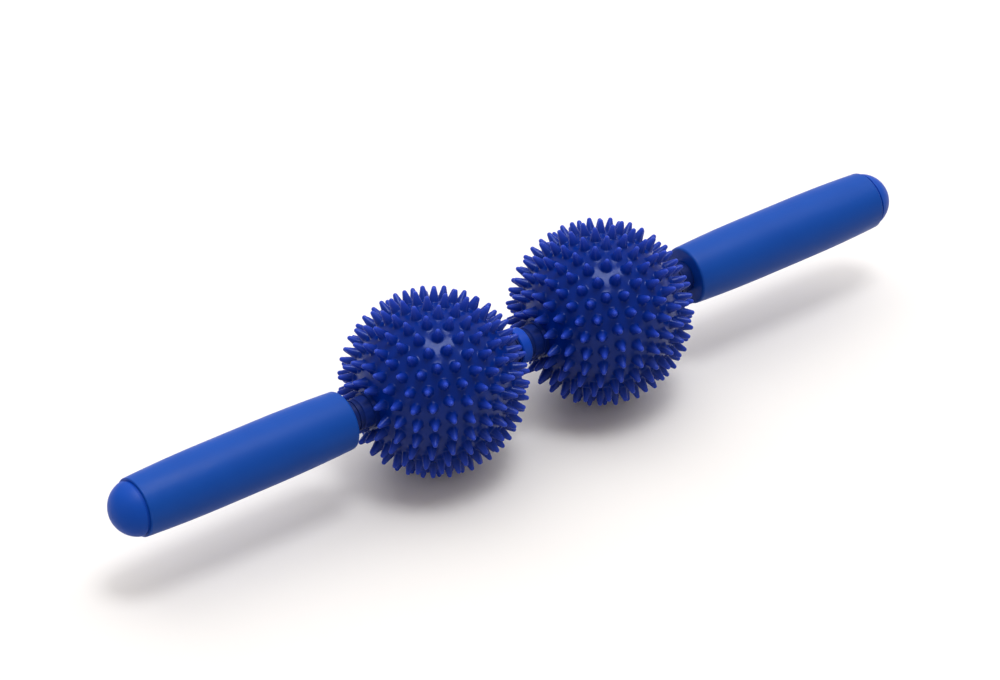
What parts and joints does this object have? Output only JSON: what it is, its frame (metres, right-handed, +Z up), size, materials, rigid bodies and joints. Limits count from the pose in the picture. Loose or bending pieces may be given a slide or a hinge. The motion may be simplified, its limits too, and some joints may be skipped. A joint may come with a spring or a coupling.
{
  "type": "spiky twin massage roller",
  "caption": "Hand-held massage stick: a rod with a barrel handle at each end and two spiked soft balls that spin freely between them.",
  "frame": {"origin": "on the floor that the balls stand on, straight below the middle of the rod, midway between the balls", "axes": "+X along the rod towards the right handle (the far end in the picture), +Z up, +Y away from the camera side"},
  "size_m": [0.4546, 0.09, 0.0895],
  "materials": {
    "ball_vinyl": "smooth soft PVC, slightly glossy",
    "handle_plastic": "satin moulded",
    "cap_plastic": "satin moulded",
    "sleeve_plastic": "satin moulded",
    "core_plastic": "dark navy, moulded",
    "bearing_plastic": "dark navy acetal",
    "plug_plastic": "natural nylon",
    "rod_steel": "bright drawn",
    "screw_steel": "zinc plated"
  },
  "bodies": {
    "handle_bar": {"axle_rod": "rod_steel", "centre_spacer": "sleeve_plastic", "axle_screws": "screw_steel", "screw_washers": "screw_steel", "left_spacer_collar": "bearing_plastic", "left_grip": "handle_plastic", "left_grip_plug": "plug_plastic", "left_end_cap": "cap_plastic", "left_inner_thrust_washer": "bearing_plastic", "left_outer_thrust_washer": "bearing_plastic", "right_spacer_collar": "bearing_plastic", "right_grip": "handle_plastic", "right_grip_plug": "plug_plastic", "right_end_cap": "cap_plastic", "right_inner_thrust_washer": "bearing_plastic", "right_outer_thrust_washer": "bearing_plastic"},
    "left_ball": {"left_spiky_ball": "ball_vinyl", "left_ball_core": "core_plastic", "left_core_lock_ring": "core_plastic", "left_ball_inner_bush": "bearing_plastic", "left_ball_outer_bush": "bearing_plastic"},
    "right_ball": {"right_spiky_ball": "ball_vinyl", "right_ball_core": "core_plastic", "right_core_lock_ring": "core_plastic", "right_ball_inner_bush": "bearing_plastic", "right_ball_outer_bush": "bearing_plastic"}
  },
  "joints": [
    {"name": "left_ball_spin", "type": "hinge", "parent": "handle_bar", "child": "left_ball", "pos_m": [-0.0492, 0, 0.04476], "axis": [1, 0, 0], "continuous": true},
    {"name": "right_ball_spin", "type": "hinge", "parent": "handle_bar", "child": "right_ball", "pos_m": [0.0492, 0, 0.04476], "axis": [1, 0, 0], "continuous": true}
  ]
}
